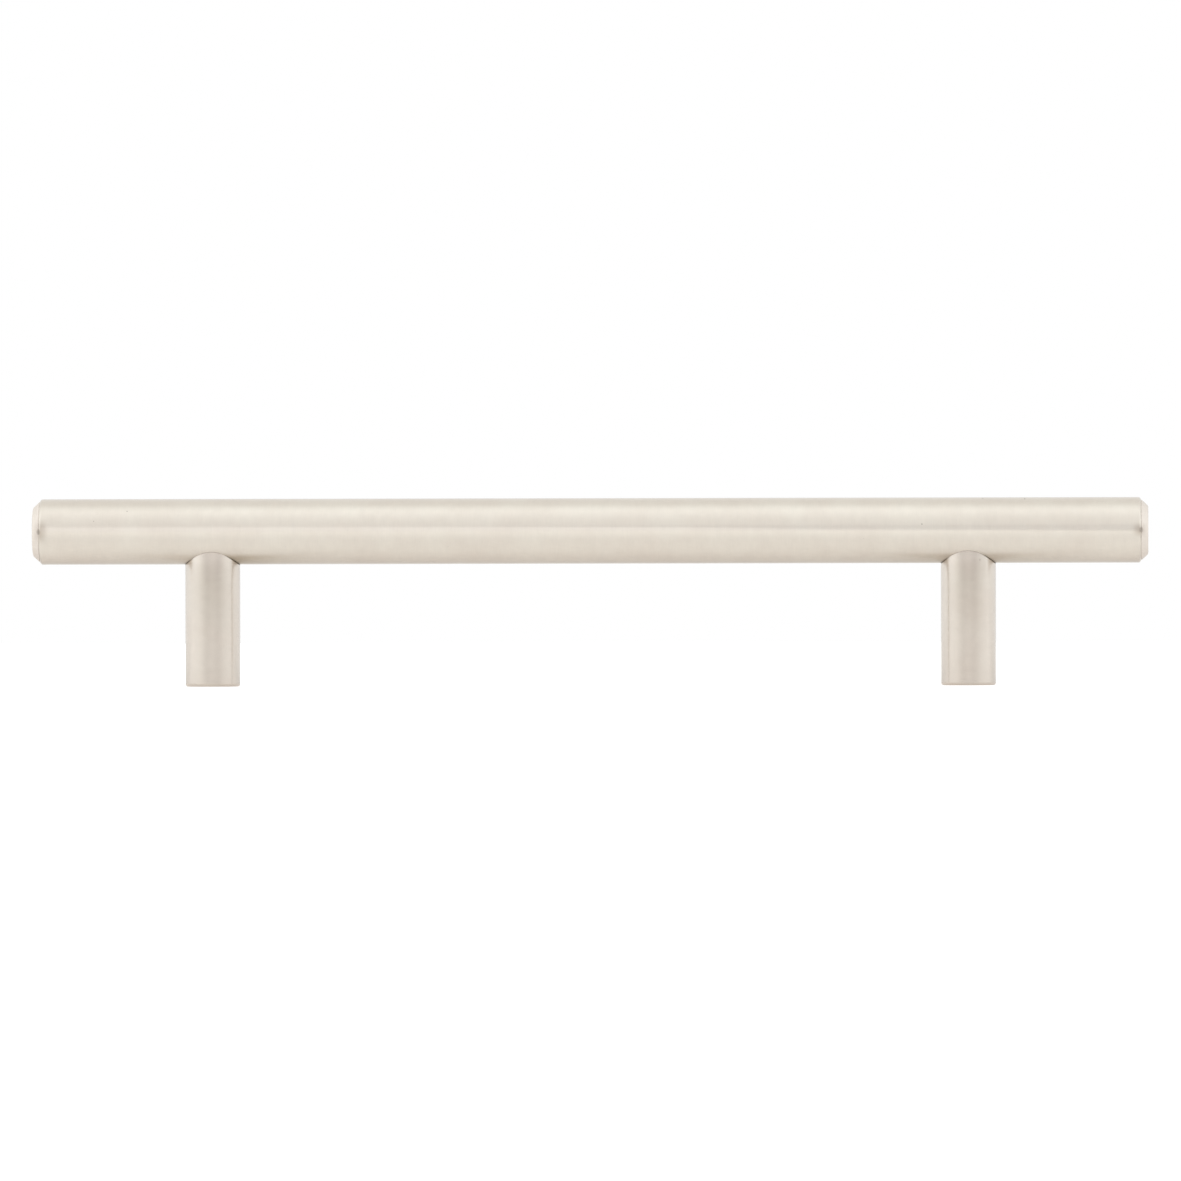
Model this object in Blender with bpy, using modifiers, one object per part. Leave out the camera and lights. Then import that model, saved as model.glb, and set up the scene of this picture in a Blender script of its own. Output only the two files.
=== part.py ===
"""T bar cabinet pull: a capped tube on two saddle-cut posts, held by hidden studs.

Metres, +Z up. The posts stand on the plane z = 0, X runs along the bar, and the origin is
midway between the two screw holes.
"""

from math import cos, pi, radians, sin, tan

import bpy
from mathutils import Vector

MM = 0.001

# Driving dimensions
HOLE_SPACING = 128.0 * MM  # from one screw hole to the other
OVERHANG = 30.45 * MM  # from a screw hole to the nearer tip of the bar
PROJECTION = 31.8 * MM  # from the door's face to the bar's far side
BAR_DIAMETER = 11.1 * MM
POST_DIAMETER = 9.3 * MM

# Bar tube
TUBE_WALL = 1.0 * MM
TUBE_END_ROUND = 0.5 * MM  # on the outer edge of each cut end
BORE_CHAMFER = 0.2 * MM

# End caps
CAP_FLANGE = 1.0 * MM  # thickness of the part that shows
CAP_LAND = 0.15 * MM  # straight rim beside the tube, before the chamfer
CAP_CHAMFER = 1.2 * MM  # how far the chamfer comes in, measured along the radius
CAP_CORNER_ROUND = 0.7 * MM  # softens the chamfer where it meets the face
SPIGOT_LENGTH = 6.0 * MM
SPIGOT_CHAMFER = 0.5 * MM

# Posts
BASE_ROUND = 0.5 * MM  # on the edge that meets the door
SCREW_TAP_DRILL = 3.3 * MM  # drill for an M4 thread
SCREW_MOUTH_CHAMFER = 0.5 * MM
HOLE_WEB = 1.5 * MM  # metal left between the screw's hole and the stud's hole
DRILL_POINT_ANGLE = 118.0  # degrees, across the whole point

# Studs, and the nuts that they screw into
STUD_DIAMETER = 4.0 * MM
STUD_LENGTH = 12.0 * MM
STUD_CHAMFER = 0.4 * MM
STUD_RISE = 0.75 * MM  # how far its head reaches past the middle of the bar
SOCKET_ACROSS_FLATS = 2.0 * MM
SOCKET_DEPTH = 2.0 * MM
NUT_LENGTH = 12.0 * MM
NUT_CHAMFER = 0.6 * MM

# Clearances between pieces
FIT_GAP = 0.3 * MM  # round a spigot, a nut or a stud, and under a stud
SEAM_GAP = 0.25 * MM  # between a cap's flange and the tube's end
SADDLE_GAP = 0.3 * MM  # between a post's saddle and the bar
CUT_MARGIN = 1.0 * MM  # how far a cutter runs past what it cuts

# Facets
BAR_FACETS = 64
POST_FACETS = 48
SMALL_FACETS = 32
ROUND_SEGMENTS = 3

# Sizes that follow from those above
BAR_RADIUS = BAR_DIAMETER / 2
BAR_HEIGHT = PROJECTION - BAR_RADIUS
BORE_RADIUS = BAR_RADIUS - TUBE_WALL
TUBE_END = HOLE_SPACING / 2 + OVERHANG - CAP_FLANGE - SEAM_GAP
END_ROUND = min(TUBE_END_ROUND, 0.6 * TUBE_WALL)
INSERT_RADIUS = BORE_RADIUS - FIT_GAP
POST_RADIUS = POST_DIAMETER / 2
SADDLE_RADIUS = BAR_RADIUS + SADDLE_GAP
STUD_RADIUS = STUD_DIAMETER / 2
STUD_HOLE_RADIUS = STUD_RADIUS + FIT_GAP
STUD_FOOT = BAR_HEIGHT + STUD_RISE - STUD_LENGTH
TAP_RADIUS = SCREW_TAP_DRILL / 2
POINT_SLOPE = 1 / tan(radians(DRILL_POINT_ANGLE / 2))  # height of a drill's point for each radius

SATIN_NICKEL = (0.75, 0.69, 0.61)
ZINC_PLATE = (0.62, 0.64, 0.66)
ALONG_BAR = (0, pi / 2, 0)  # turns a piece's own Z axis to +X
SIDES = (("left", -1), ("right", 1))


def make_material(name, color, roughness):
    """A plain metal with one colour and one roughness."""
    material = bpy.data.materials.new(name)
    material.use_nodes = True
    shader = material.node_tree.nodes["Principled BSDF"]
    shader.inputs["Base Color"].default_value = (*color, 1.0)
    shader.inputs["Metallic"].default_value = 1.0
    shader.inputs["Roughness"].default_value = roughness
    material.diffuse_color = (*color, 1.0)
    return material


def make_collection(name):
    """A new collection in the scene."""
    collection = bpy.data.collections.new(name)
    bpy.context.scene.collection.children.link(collection)
    return collection


def round_off(before, corner, after, radius):
    """Points of the arc that rounds one corner of a profile."""
    to_before = (before - corner).normalized()
    to_after = (after - corner).normalized()
    half_angle = to_before.angle(to_after) / 2
    center = corner + (to_before + to_after).normalized() * radius / sin(half_angle)
    start = corner + to_before * radius / tan(half_angle) - center
    end = corner + to_after * radius / tan(half_angle) - center
    sweep = pi - 2 * half_angle
    points = []
    for step in range(ROUND_SEGMENTS + 1):
        turn = sweep * step / ROUND_SEGMENTS
        points.append(center + (start * sin(sweep - turn) + end * sin(turn)) / sin(sweep))
    return points


def turned(name, corners, facets, material, closed=False):
    """A turned piece about its own Z axis, from the corners of its profile.

    A corner is (radius, height), or (radius, height, rounding) where an arc softens it. They
    run down the outer side. An open profile starts and ends on the axis, and a closed one goes
    round the section of a ring.
    """
    places = [Vector(corner[:2]) for corner in corners]
    profile = []
    for index, corner in enumerate(corners):
        if len(corner) == 2:
            profile.append(places[index])
        else:
            after = places[(index + 1) % len(places)]
            profile += round_off(places[index - 1], places[index], after, corner[2])
    edges = [(index, index + 1) for index in range(len(profile) - 1)]
    if closed:
        edges.append((len(profile) - 1, 0))
    mesh = bpy.data.meshes.new(name)
    mesh.from_pydata([(radius, 0.0, height) for radius, height in profile], edges, [])
    mesh.materials.append(material)
    piece = bpy.data.objects.new(name, mesh)
    parts.objects.link(piece)
    screw = piece.modifiers.new("turning", "SCREW")
    screw.axis = "Z"
    screw.steps = screw.render_steps = facets
    screw.use_merge_vertices = True
    screw.merge_threshold = 0.001 * MM
    screw.use_smooth_shade = True
    return piece


def cut(piece, name, radius, depth, location, rotation=(0, 0, 0), facets=SMALL_FACETS):
    """Take a cylinder, or a prism with few facets, out of a piece."""
    bpy.ops.mesh.primitive_cylinder_add(
        vertices=facets, radius=radius, depth=depth, location=location, rotation=rotation
    )
    cutter = bpy.context.object
    cutter.name = name
    for owner in list(cutter.users_collection):
        owner.objects.unlink(cutter)
    cutters.objects.link(cutter)
    cutter.hide_render = True
    cutter.display_type = "WIRE"
    boolean = piece.modifiers.new(name, "BOOLEAN")
    boolean.operation = "DIFFERENCE"
    boolean.solver = "EXACT"
    boolean.object = cutter


def make_bar_tube():
    """A round tube with rounded ends and a clearance hole under it for each stud."""
    corners = [
        (BAR_RADIUS, TUBE_END, END_ROUND),
        (BAR_RADIUS, -TUBE_END, END_ROUND),
        (BORE_RADIUS + BORE_CHAMFER, -TUBE_END),
        (BORE_RADIUS, BORE_CHAMFER - TUBE_END),
        (BORE_RADIUS, TUBE_END - BORE_CHAMFER),
        (BORE_RADIUS + BORE_CHAMFER, TUBE_END),
    ]
    tube = turned("bar_tube", corners, BAR_FACETS, satin_nickel, closed=True)
    tube.rotation_euler = ALONG_BAR
    tube.location = (0, 0, BAR_HEIGHT)
    for side, direction in SIDES:
        depth = 2 * (TUBE_WALL + CUT_MARGIN)
        place = (direction * HOLE_SPACING / 2, 0, BAR_HEIGHT - BAR_RADIUS)
        cut(tube, f"tube_hole_{side}", STUD_HOLE_RADIUS, depth, place)


def make_end_cap(side, direction):
    """A turned plug: a chamfered flange outside the tube, and a spigot inside it."""
    rim = BAR_RADIUS - END_ROUND
    spigot_end = -SEAM_GAP - SPIGOT_LENGTH
    corners = [
        (0, CAP_FLANGE),
        (rim - CAP_CHAMFER, CAP_FLANGE, CAP_CORNER_ROUND),
        (rim, CAP_LAND),
        (rim, 0),
        (INSERT_RADIUS, 0),
        (INSERT_RADIUS, spigot_end + SPIGOT_CHAMFER),
        (INSERT_RADIUS - SPIGOT_CHAMFER, spigot_end),
        (0, spigot_end),
    ]
    cap = turned(f"end_cap_{side}", corners, BAR_FACETS, satin_nickel)
    cap.rotation_euler = (0, direction * pi / 2, 0)
    cap.location = (direction * (TUBE_END + SEAM_GAP), 0, BAR_HEIGHT)


def make_post(side, x):
    """A turned post: tapped from below, drilled for the stud above, with a saddle on top."""
    stud_hole_floor = STUD_FOOT - FIT_GAP
    screw_hole_tip = stud_hole_floor - STUD_HOLE_RADIUS * POINT_SLOPE - HOLE_WEB
    corners = [
        (0, screw_hole_tip + HOLE_WEB),
        (STUD_HOLE_RADIUS, stud_hole_floor),
        (STUD_HOLE_RADIUS, BAR_HEIGHT),
        (POST_RADIUS, BAR_HEIGHT),
        (POST_RADIUS, 0, BASE_ROUND),
        (TAP_RADIUS + SCREW_MOUTH_CHAMFER, 0),
        (TAP_RADIUS, SCREW_MOUTH_CHAMFER),
        (TAP_RADIUS, screw_hole_tip - TAP_RADIUS * POINT_SLOPE),
        (0, screw_hole_tip),
    ]
    post = turned(f"post_{side}", corners, POST_FACETS, satin_nickel)
    post.location = (x, 0, 0)
    length = POST_DIAMETER + 2 * CUT_MARGIN
    place = (x, 0, BAR_HEIGHT)
    cut(post, f"saddle_{side}", SADDLE_RADIUS, length, place, ALONG_BAR, BAR_FACETS)


def make_stud(side, x):
    """A grub stud with chamfered ends and a hexagon socket in its foot."""
    end_radius = STUD_RADIUS - STUD_CHAMFER
    corners = [
        (0, STUD_LENGTH),
        (end_radius, STUD_LENGTH),
        (STUD_RADIUS, STUD_LENGTH - STUD_CHAMFER),
        (STUD_RADIUS, STUD_CHAMFER),
        (end_radius, 0),
        (0, 0),
    ]
    stud = turned(f"stud_{side}", corners, SMALL_FACETS, zinc_plate)
    stud.location = (x, 0, STUD_FOOT)
    corner_radius = SOCKET_ACROSS_FLATS / 2 / cos(pi / 6)
    cut(stud, f"socket_{side}", corner_radius, 2 * SOCKET_DEPTH, (x, 0, STUD_FOOT), facets=6)


def make_tube_nut(side, x):
    """A slug that lies in the tube, drilled across for the stud."""
    half = NUT_LENGTH / 2
    corners = [
        (0, half),
        (INSERT_RADIUS - NUT_CHAMFER, half),
        (INSERT_RADIUS, half - NUT_CHAMFER),
        (INSERT_RADIUS, NUT_CHAMFER - half),
        (INSERT_RADIUS - NUT_CHAMFER, -half),
        (0, -half),
    ]
    nut = turned(f"tube_nut_{side}", corners, BAR_FACETS, zinc_plate)
    nut.rotation_euler = ALONG_BAR
    nut.location = (x, 0, BAR_HEIGHT)
    depth = 2 * (INSERT_RADIUS + CUT_MARGIN)
    cut(nut, f"nut_hole_{side}", STUD_HOLE_RADIUS, depth, (x, 0, BAR_HEIGHT))


for old in list(bpy.data.objects):
    bpy.data.objects.remove(old, do_unlink=True)

parts = make_collection("t_bar_cabinet_pull")
cutters = make_collection("cutters")
satin_nickel = make_material("satin_nickel", SATIN_NICKEL, 0.3)
zinc_plate = make_material("zinc_plate", ZINC_PLATE, 0.4)

make_bar_tube()
for side_name, side_sign in SIDES:
    make_end_cap(side_name, side_sign)
    make_post(side_name, side_sign * HOLE_SPACING / 2)
    make_stud(side_name, side_sign * HOLE_SPACING / 2)
    make_tube_nut(side_name, side_sign * HOLE_SPACING / 2)
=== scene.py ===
# T bar cabinet pull in satin nickel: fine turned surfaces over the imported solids, in a white tent.
from math import cos, pi, radians, sin, tan

import bpy
import numpy as np
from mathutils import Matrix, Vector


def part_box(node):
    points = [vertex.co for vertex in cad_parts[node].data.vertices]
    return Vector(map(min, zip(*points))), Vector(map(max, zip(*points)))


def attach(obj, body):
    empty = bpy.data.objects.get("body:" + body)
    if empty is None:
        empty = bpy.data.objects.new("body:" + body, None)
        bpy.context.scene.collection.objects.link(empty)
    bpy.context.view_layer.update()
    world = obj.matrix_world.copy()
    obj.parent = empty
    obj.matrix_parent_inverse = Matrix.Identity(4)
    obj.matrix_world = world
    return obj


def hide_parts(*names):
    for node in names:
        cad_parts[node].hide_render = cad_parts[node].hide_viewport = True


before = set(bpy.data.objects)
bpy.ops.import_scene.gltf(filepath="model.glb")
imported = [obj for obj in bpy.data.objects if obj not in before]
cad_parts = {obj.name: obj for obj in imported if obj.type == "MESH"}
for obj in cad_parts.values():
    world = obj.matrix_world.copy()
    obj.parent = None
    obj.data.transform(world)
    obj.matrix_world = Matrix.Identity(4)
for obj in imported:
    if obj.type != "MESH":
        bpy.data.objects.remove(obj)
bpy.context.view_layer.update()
mm = 0.001


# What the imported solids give: the places and sizes that every fine surface keeps

tubeLow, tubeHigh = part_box("bar_tube")
capLow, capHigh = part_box("end_cap_right")
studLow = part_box("stud_right")[0]
barRadius = (tubeHigh.z - tubeLow.z) / 2
barHeight = (tubeHigh.z + tubeLow.z) / 2
tubeEnd = tubeHigh.x
barTip = capHigh.x
postX = {}
for side in ("left", "right"):
    low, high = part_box(f"post_{side}")
    postX[side] = (low.x + high.x) / 2
    postRadius = (high.x - low.x) / 2
seam = dict(place=tubeEnd + 0.03 * mm, width=0.006 * mm)  # the caps' seats, closed to a hairline
print("frame: bar radius", round(barRadius / mm, 3), "height", round(barHeight / mm, 3))


# Helpers for turned surfaces

# Points and outward normals along a profile, given as rows of (axial, radius, rounding). Each
# corner becomes an arc that touches both of its straight sides: its centre lies on the bisector,
# rounding / sin(half angle) from the corner, and the arc turns through what is left of a straight
# angle. The first and last rows of an open profile stay points.
def roundedPath(corners, closed, segments=8):
    corners = np.array(corners, float)
    place, rounding = corners[:, :2], corners[:, 2:]
    inner = slice(None) if closed else slice(1, -1)
    toBack = (np.roll(place, 1, 0) - place)[inner]
    toNext = (np.roll(place, -1, 0) - place)[inner]
    toBack /= np.linalg.norm(toBack, axis=1, keepdims=True)
    toNext /= np.linalg.norm(toNext, axis=1, keepdims=True)
    half = np.arccos(np.clip((toBack * toNext).sum(1, keepdims=True), -1, 1)) / 2
    middle = toBack + toNext
    middle /= np.linalg.norm(middle, axis=1, keepdims=True)
    center = place[inner] + middle * rounding[inner] / np.sin(half)
    start = place[inner] + toBack * rounding[inner] / np.tan(half) - center
    end = place[inner] + toNext * rounding[inner] / np.tan(half) - center
    sweep = (pi - 2 * half)[:, None, :]
    turn = np.linspace(0, 1, segments + 1)[None, :, None] * sweep
    weights = np.sin(sweep - turn) / np.sin(sweep), np.sin(turn) / np.sin(sweep)
    points = center[:, None] + start[:, None] * weights[0] + end[:, None] * weights[1]
    heading = -toBack[:, None] * weights[0] + toNext[:, None] * weights[1]
    points, heading = points.reshape(-1, 2), heading.reshape(-1, 2)
    if not closed:
        points = np.vstack([place[:1], points, place[-1:]])
        heading = np.vstack([heading[:1], heading, heading[-1:]])
    return points, np.stack([heading[:, 1], -heading[:, 0]], 1)


# A profile carried round the bar's axis: radius times cosine and sine of the angle, as a grid of
# points and a grid of normals. The rows run along the profile. Where facing is -1 the piece is
# turned to face the other end.
def spun(points, normals, count, facing=1):
    angle = np.linspace(0, 2 * pi, count, endpoint=False)[None, :]
    grids = []
    for rows in (points, normals):
        axial = np.repeat(rows[:, :1], count, axis=1)
        across = rows[:, 1:] * np.cos(angle)
        beside = rows[:, 1:] * np.sin(angle)
        grids.append(np.stack([facing * axial, facing * across, beside], 2))
    return grids[0] + np.array([0, 0, barHeight]), grids[1]


# How far along its profile each point lies: the running sum of the steps between rows.
def pathLength(points):
    lengths = np.linalg.norm(np.diff(points, axis=0), axis=-1)
    return np.concatenate([np.zeros_like(lengths[:1]), np.cumsum(lengths, axis=0)])


# Evenly spaced shares from 0 to 1, one to a row, with or without the first.
def shares(number, first=True):
    return np.linspace(0, 1, number)[0 if first else 1:, None]


# A mesh from a grid of points whose columns go once round the piece. Its UV map "turned" runs in
# metres along the profile and in turns round the axis. A row that is a pole becomes one point with
# a fan round it, and a closed profile joins up with itself.
def gridPiece(name, points, normals, along, closed=False, poles=(False, False)):
    rows, columns = points.shape[:2]
    index = np.arange(rows * columns).reshape(rows, columns)
    if poles[0]:
        index[0] = index[0, 0]
    if poles[1]:
        index[-1] = index[-1, 0]
    upper = np.arange(rows if closed else rows - 1)
    lower = (upper + 1) % rows
    column = np.arange(columns)
    after = (column + 1) % columns
    corner = [(upper, column), (lower, column), (lower, after), (upper, after)]
    faces = np.stack([index[np.ix_(r, c)] for r, c in corner], 2).reshape(-1, 4)
    along = np.broadcast_to(along.reshape(rows, -1), (rows, columns))
    reach = np.vstack([along, along[:1] + 2 * along[-1:] - along[-2:-1]]) if closed else along
    lengths = [reach[upper][:, column], reach[upper + 1][:, column],
               reach[upper + 1][:, after], reach[upper][:, after]]
    turns = [column, column, column + 1, column + 1]
    uv = np.stack([np.stack([u, np.broadcast_to(v / columns, u.shape)], 2)
                   for u, v in zip(lengths, turns)], 2).reshape(-1, 4, 2)
    used, compact = np.unique(faces, return_inverse=True)
    faces = compact.reshape(-1, 4)
    keep = np.ones(faces.shape, bool)
    keep[faces[:, 0] == faces[:, 3], 3] = False
    keep[faces[:, 1] == faces[:, 2], 2] = False
    polygons = np.split(faces[keep], np.cumsum(keep.sum(1))[:-1])
    mesh = bpy.data.meshes.new(name)
    mesh.from_pydata(points.reshape(-1, 3)[used], [], [p.tolist() for p in polygons])
    mesh.uv_layers.new(name="turned").uv.foreach_set("vector", uv[keep].ravel())
    mesh.shade_smooth()
    mesh.normals_split_custom_set_from_vertices(normals.reshape(-1, 3)[used].tolist())
    piece = bpy.data.objects.new(name, mesh)
    bpy.context.scene.collection.objects.link(piece)
    return piece


# Helpers for shader nodes

# A value goes into a socket: a link where it is a socket itself, and otherwise a setting.
def feed(tree, value, socket):
    if isinstance(value, bpy.types.NodeSocket):
        tree.links.new(value, socket)
    else:
        socket.default_value = value


# One node with its settings and its inputs by name; nodes are laid out in rows as they are made.
def addNode(tree, kind, settings=None, **inputs):
    node = tree.nodes.new(kind)
    order = len(tree.nodes)
    node.location = (220 * (order % 8), -260 * (order // 8))
    for key, value in (settings or {}).items():
        setattr(node, key, value)
    for key, value in inputs.items():
        feed(tree, value, node.inputs[key.replace("_", " ")])
    return node


# One step of arithmetic.
def calc(tree, operation, *values):
    node = addNode(tree, "ShaderNodeMath", dict(operation=operation))
    for value, socket in zip(values, node.inputs):
        feed(tree, value, socket)
    return node.outputs[0]


# Several values multiplied.
def product(tree, value, *others):
    for other in others:
        value = calc(tree, "MULTIPLY", value, other)
    return value


# The piece's own place, as one vector and as its three parts.
def ownPlace(tree):
    place = addNode(tree, "ShaderNodeTexCoord").outputs["Object"]
    return place, addNode(tree, "ShaderNodeSeparateXYZ", Vector=place).outputs


# A soft step: low below the first edge, high above the second one.
def softStep(tree, value, edges, low=0.0, high=1.0, kind="SMOOTHSTEP"):
    node = addNode(tree, "ShaderNodeMapRange", dict(interpolation_type=kind), Value=value,
                   From_Min=edges[0], From_Max=edges[1], To_Min=low, To_Max=high)
    return node.outputs["Result"]


# One at the bar's left end, and the given share of that at its right end.
def lessAtRight(tree, along, share):
    return softStep(tree, along, (-mm, mm), 1.0, share)


# Two colours mixed, or multiplied.
def blend(tree, factor, first, second, kind="MIX"):
    node = addNode(tree, "ShaderNodeMix", dict(data_type="RGBA", blend_type=kind))
    sockets = [node.inputs[0], node.inputs[6], node.inputs[7]]
    for value, socket in zip((factor, first, second), sockets):
        feed(tree, value, socket)
    return node.outputs[2]


# An empty node group with named inputs and outputs, all of them single values.
def newGroup(name, inputs, outputs):
    group = bpy.data.node_groups.new(name, "ShaderNodeTree")
    for label, value in inputs.items():
        socket = group.interface.new_socket(label, in_out="INPUT", socket_type="NodeSocketFloat")
        socket.default_value = value
    for label in outputs:
        group.interface.new_socket(label, in_out="OUTPUT", socket_type="NodeSocketFloat")
    return group, addNode(group, "NodeGroupInput").outputs, addNode(group, "NodeGroupOutput").inputs


# A node group's node in a material, with its inputs set.
def useGroup(tree, group, **inputs):
    return addNode(tree, "ShaderNodeGroup", dict(node_tree=group), **inputs).outputs


# Finishes

# Brush marks that run round a turned piece: noise that is fine along the profile and slow round
# the axis, on a circle (cosine and sine of the turn, times Wander) so that it meets itself. Fine
# marks fill the surface, and Broad ones are eleven times wider.
def makeTurnedGrain():
    group, given, result = newGroup(
        "turnedGrain", {"Marks Per Metre": 9000.0, "Wander": 3.0, "Shift": 0.0}, ["Fine", "Broad"])
    uvMap = addNode(group, "ShaderNodeUVMap", dict(uv_map="turned"))
    split = addNode(group, "ShaderNodeSeparateXYZ", Vector=uvMap.outputs["UV"]).outputs
    angle = calc(group, "MULTIPLY", split["Y"], 2 * pi)
    across = calc(group, "MULTIPLY", calc(group, "COSINE", angle), given["Wander"])
    beside = calc(group, "MULTIPLY", calc(group, "SINE", angle), given["Wander"])
    for label, ratio, detail in (("Fine", 1.0, 6.0), ("Broad", 0.09, 3.0)):
        rate = calc(group, "MULTIPLY", given["Marks Per Metre"], ratio)
        place = addNode(group, "ShaderNodeCombineXYZ", X=calc(group, "MULTIPLY", rate, split["X"]),
                        Y=across, Z=beside)
        noise = addNode(group, "ShaderNodeTexNoise", dict(noise_dimensions="4D"), Scale=1.0,
                        Detail=detail, Roughness=0.62, Vector=place.outputs[0], W=given["Shift"])
        group.links.new(noise.outputs["Fac"], result[label])
    return group


plating = dict(cloudScale=160.0, cloudDetail=3.0, cloudRoughness=0.55, pitScale=900.0,
               pitDetail=1.0, pitRoughness=0.4, pitCut=0.8, pitEdge=0.05)


# Slow cloudy tone and sparse small pits, from the piece's own place.
def makePlatingTone():
    size = plating
    group, given, result = newGroup(
        "platingTone", {"Cloud Scale": size["cloudScale"], "Pit Scale": size["pitScale"],
                        "Pit Cut": size["pitCut"]}, ["Cloud", "Pits"])
    place = ownPlace(group)[0]
    cloud = addNode(group, "ShaderNodeTexNoise", Vector=place, Scale=given["Cloud Scale"],
                    Detail=size["cloudDetail"], Roughness=size["cloudRoughness"])
    pit = addNode(group, "ShaderNodeTexNoise", Vector=place, Scale=given["Pit Scale"],
                  Detail=size["pitDetail"], Roughness=size["pitRoughness"])
    top = calc(group, "ADD", given["Pit Cut"], size["pitEdge"])
    pits = softStep(group, pit.outputs["Fac"], (given["Pit Cut"], top))
    group.links.new(cloud.outputs["Fac"], result["Cloud"])
    group.links.new(pits, result["Pits"])
    return group


grime = dict(
    lineReach=0.12 * mm, lineEdge=(0.5, 1.0), dashScale=1300.0, dashCut=(0.62, 0.75), dashDepth=0.3,
    lowEdge=(0.15, 0.5), lowDepth=0.14, lowRight=0.2, spotWidth=0.38 * mm, spotHeight=0.55 * mm,
    spotFade=1.3, spotDepth=0.42, patchReach=1.9 * mm, tubeEdge=(0.02, 0.12),
    capEdge=(-0.62, -0.15), capDepth=0.5, levelEdge=(0.2, 1.3), levelRight=0.6, slowScale=260.0,
    slowEdge=(0.2, 0.6), slowLeast=0.8)


# What settles at the end caps' seams, by the distance from the seam along the bar. Specks are
# short dashes in the seam, a faint line in its lower half and one wider oval at the front on the
# bar's own height, by (off / Spot Width)² plus (rise / Spot Height)². Tarnish is a soft patch on the
# tube's side of the seam, out to Patch Reach along and 1.3 times that up and down, and a fainter
# one on the cap's chamfer. Line and patch are less at the right end.
def makeSeamGrime():
    size = grime
    group, given, result = newGroup(
        "seamGrime", {"Seam Place": seam["place"], "Bar Height": barHeight, "Bar Radius": barRadius,
                      "Line Reach": size["lineReach"], "Spot Width": size["spotWidth"],
                      "Spot Height": size["spotHeight"], "Patch Reach": size["patchReach"]},
        ["Specks", "Tarnish"])
    place, split = ownPlace(group)
    inward = calc(group, "SUBTRACT", given["Seam Place"], calc(group, "ABSOLUTE", split["X"]))
    off = calc(group, "ABSOLUTE", inward)
    drop = calc(group, "SUBTRACT", given["Bar Height"], split["Z"])
    rise = calc(group, "ABSOLUTE", drop)
    front = calc(group, "LESS_THAN", split["Y"], 0.0)
    line = softStep(group, calc(group, "DIVIDE", off, given["Line Reach"]), size["lineEdge"],
                    1.0, 0.0)
    noise = addNode(group, "ShaderNodeTexNoise", Vector=place, Scale=size["dashScale"], Detail=1.0)
    dash = softStep(group, noise.outputs["Fac"], size["dashCut"])
    low = product(group, softStep(group, calc(group, "DIVIDE", drop, given["Bar Radius"]),
                                  size["lowEdge"], 0.0, size["lowDepth"]),
                  lessAtRight(group, split["X"], size["lowRight"]))
    dashes = product(group, line, calc(group, "MULTIPLY_ADD", dash, size["dashDepth"], low))
    wide = calc(group, "POWER", calc(group, "DIVIDE", off, given["Spot Width"]), 2.0)
    high = calc(group, "POWER", calc(group, "DIVIDE", rise, given["Spot Height"]), 2.0)
    oval = softStep(group, calc(group, "ADD", wide, high), (0.0, size["spotFade"]),
                    size["spotDepth"], 0.0)
    specks = calc(group, "MAXIMUM", dashes, product(group, oval, front))
    group.links.new(specks, result["Specks"])
    share = calc(group, "DIVIDE", inward, given["Patch Reach"])
    onCap = softStep(group, share, size["capEdge"], 0.0, size["capDepth"])
    near = product(group, softStep(group, share, size["tubeEdge"], onCap, 1.0),
                   softStep(group, share, (size["tubeEdge"][1], 1.0), 1.0, 0.0))
    tall = product(group, given["Patch Reach"], lessAtRight(group, split["X"], size["levelRight"]))
    level = softStep(group, calc(group, "DIVIDE", rise, tall), size["levelEdge"], 1.0, 0.0)
    slow = addNode(group, "ShaderNodeTexNoise", Vector=place, Scale=size["slowScale"], Detail=2.0)
    uneven = softStep(group, slow.outputs["Fac"], size["slowEdge"], size["slowLeast"], 1.0)
    group.links.new(product(group, near, level, uneven), result["Tarnish"])
    return group


# Where the joint's residue lies, and where the posts get painted shade under the bar.
residue = dict(skinEdge=(0.08 * mm, 0.22 * mm), rightEdge=(0.4, 0.78), leftEdge=(-0.96, -0.6),
               topShadeEdge=(0.2, 0.8), topShadeLeast=0.4, clearEdge=(0.4 * mm, 2.2 * mm), clearLeast=0.5)
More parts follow.
